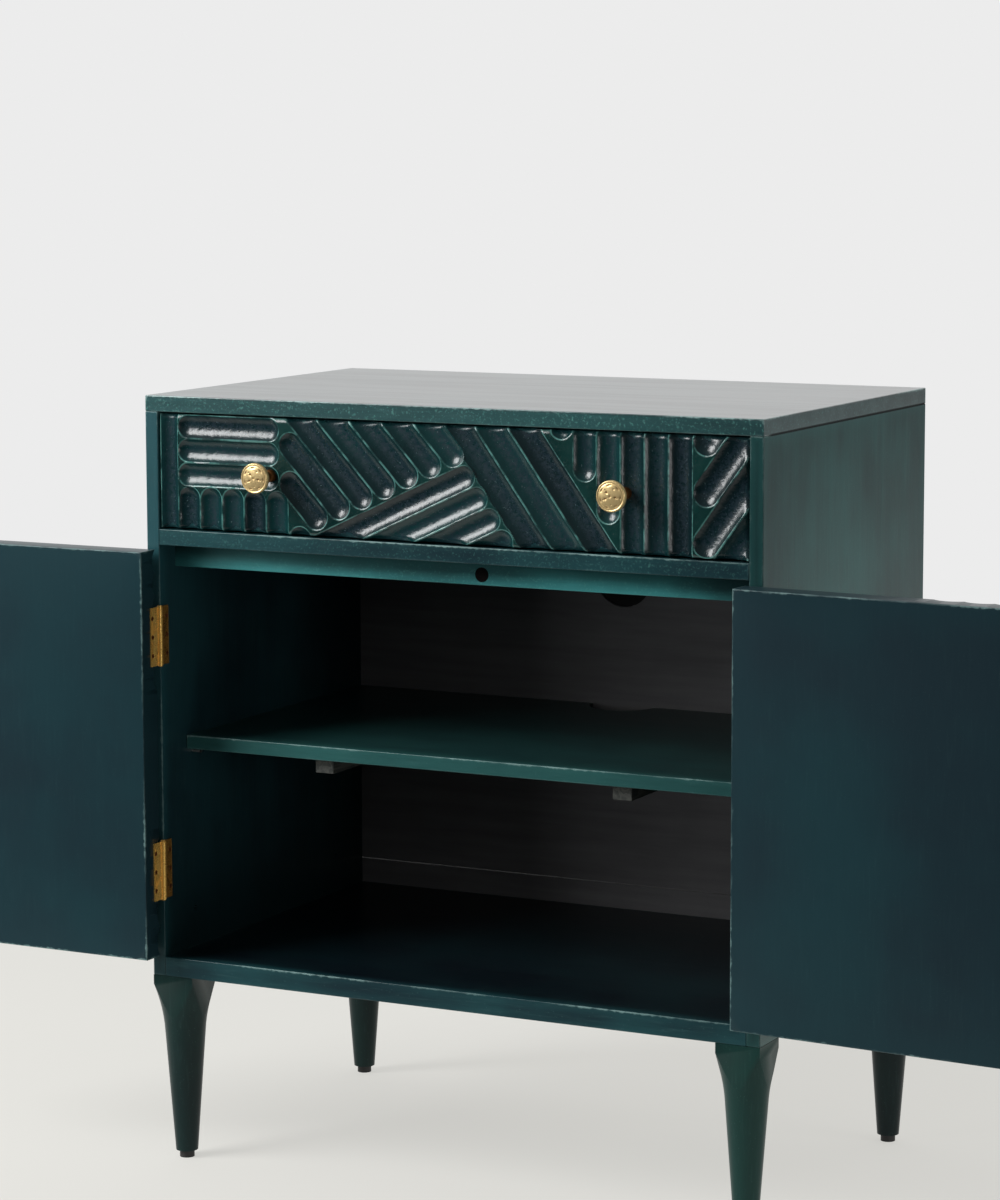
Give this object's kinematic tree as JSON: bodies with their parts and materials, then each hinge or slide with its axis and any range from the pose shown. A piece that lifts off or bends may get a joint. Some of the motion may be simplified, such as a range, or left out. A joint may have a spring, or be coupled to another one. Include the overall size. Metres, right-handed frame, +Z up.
{
  "type": "storage cabinet",
  "caption": "Floor-standing storage cabinet on tapered legs with a carved fluted drawer over a pair of carved hinged doors and an inner shelf.",
  "frame": {"origin": "on the floor, in the middle of the box around the cabinet with its doors open", "axes": "+X to the right seen from the front, +Y to the back, +Z up"},
  "size_m": [1.3496, 0.5062, 0.832],
  "materials": {
    "teal_lacquer": "dark teal stain under satin lacquer",
    "carved_teal": "carved wood, dark teal stain, satin lacquer",
    "dark_board": "near-black stained plywood",
    "drawer_wood": "dark stained hardwood, thin lacquer",
    "raw_wood": "bare wood",
    "brass": "polished brass, slightly aged",
    "steel": "plain steel",
    "magnet": "dark sintered magnet",
    "black_plastic": "matt black"
  },
  "bodies": {
    "carcass": {"top_panel": "teal_lacquer", "left_side_panel": "teal_lacquer", "right_side_panel": "teal_lacquer", "bottom_panel": "teal_lacquer", "back_panel": "dark_board", "back_lower_board": "dark_board", "back_screws": "steel", "cable_port_plug": "black_plastic", "drawer_divider": "teal_lacquer", "door_stop_strip": "teal_lacquer", "catch_magnet": "magnet", "carcass_dowels": "raw_wood", "shelf": "teal_lacquer", "shelf_pins": "steel", "left_shelf_batten": "raw_wood", "right_shelf_batten": "raw_wood", "batten_screws": "steel", "left_drawer_runner": "drawer_wood", "right_drawer_runner": "drawer_wood", "runner_screws": "steel", "leg_hanger_bolts": "steel", "foot_glides": "black_plastic", "front_left_leg": "teal_lacquer", "front_right_leg": "teal_lacquer", "back_left_leg": "teal_lacquer", "back_right_leg": "teal_lacquer", "left_upper_hinge_fixed_leaf": "brass", "left_lower_hinge_fixed_leaf": "brass", "right_upper_hinge_fixed_leaf": "brass", "right_lower_hinge_fixed_leaf": "brass", "hinge_pins": "brass", "carcass_hinge_screws": "brass"},
    "drawer": {"drawer_front": "carved_teal", "drawer_left_side": "drawer_wood", "drawer_right_side": "drawer_wood", "drawer_back": "drawer_wood", "drawer_bottom": "drawer_wood", "drawer_dowels": "raw_wood", "left_drawer_knob": "brass", "right_drawer_knob": "brass", "drawer_knob_screws": "steel"},
    "left_door": {"left_door_panel": "carved_teal", "left_upper_hinge_moving_leaf": "brass", "left_lower_hinge_moving_leaf": "brass", "left_door_hinge_screws": "brass", "left_door_knob": "brass", "left_door_knob_screw": "steel"},
    "right_door": {"right_door_panel": "carved_teal", "right_upper_hinge_moving_leaf": "brass", "right_lower_hinge_moving_leaf": "brass", "right_door_hinge_screws": "brass", "right_door_knob": "brass", "right_door_knob_screw": "steel", "catch_strike_plate": "steel", "catch_strike_screw": "steel"}
  },
  "joints": [
    {"name": "drawer_slide", "type": "slide", "parent": "carcass", "child": "drawer", "axis": [0, -1, 0], "range_m": [0, 0.3]},
    {"name": "left_door_hinge", "type": "hinge", "parent": "carcass", "child": "left_door", "pos_m": [-0.33788, -0.19607, 0.449], "axis": [0, 0, 1], "range_deg": [0, 180]},
    {"name": "right_door_hinge", "type": "hinge", "parent": "carcass", "child": "right_door", "pos_m": [0.33892, -0.19607, 0.449], "axis": [0, 0, -1], "range_deg": [-4, 176]}
  ]
}
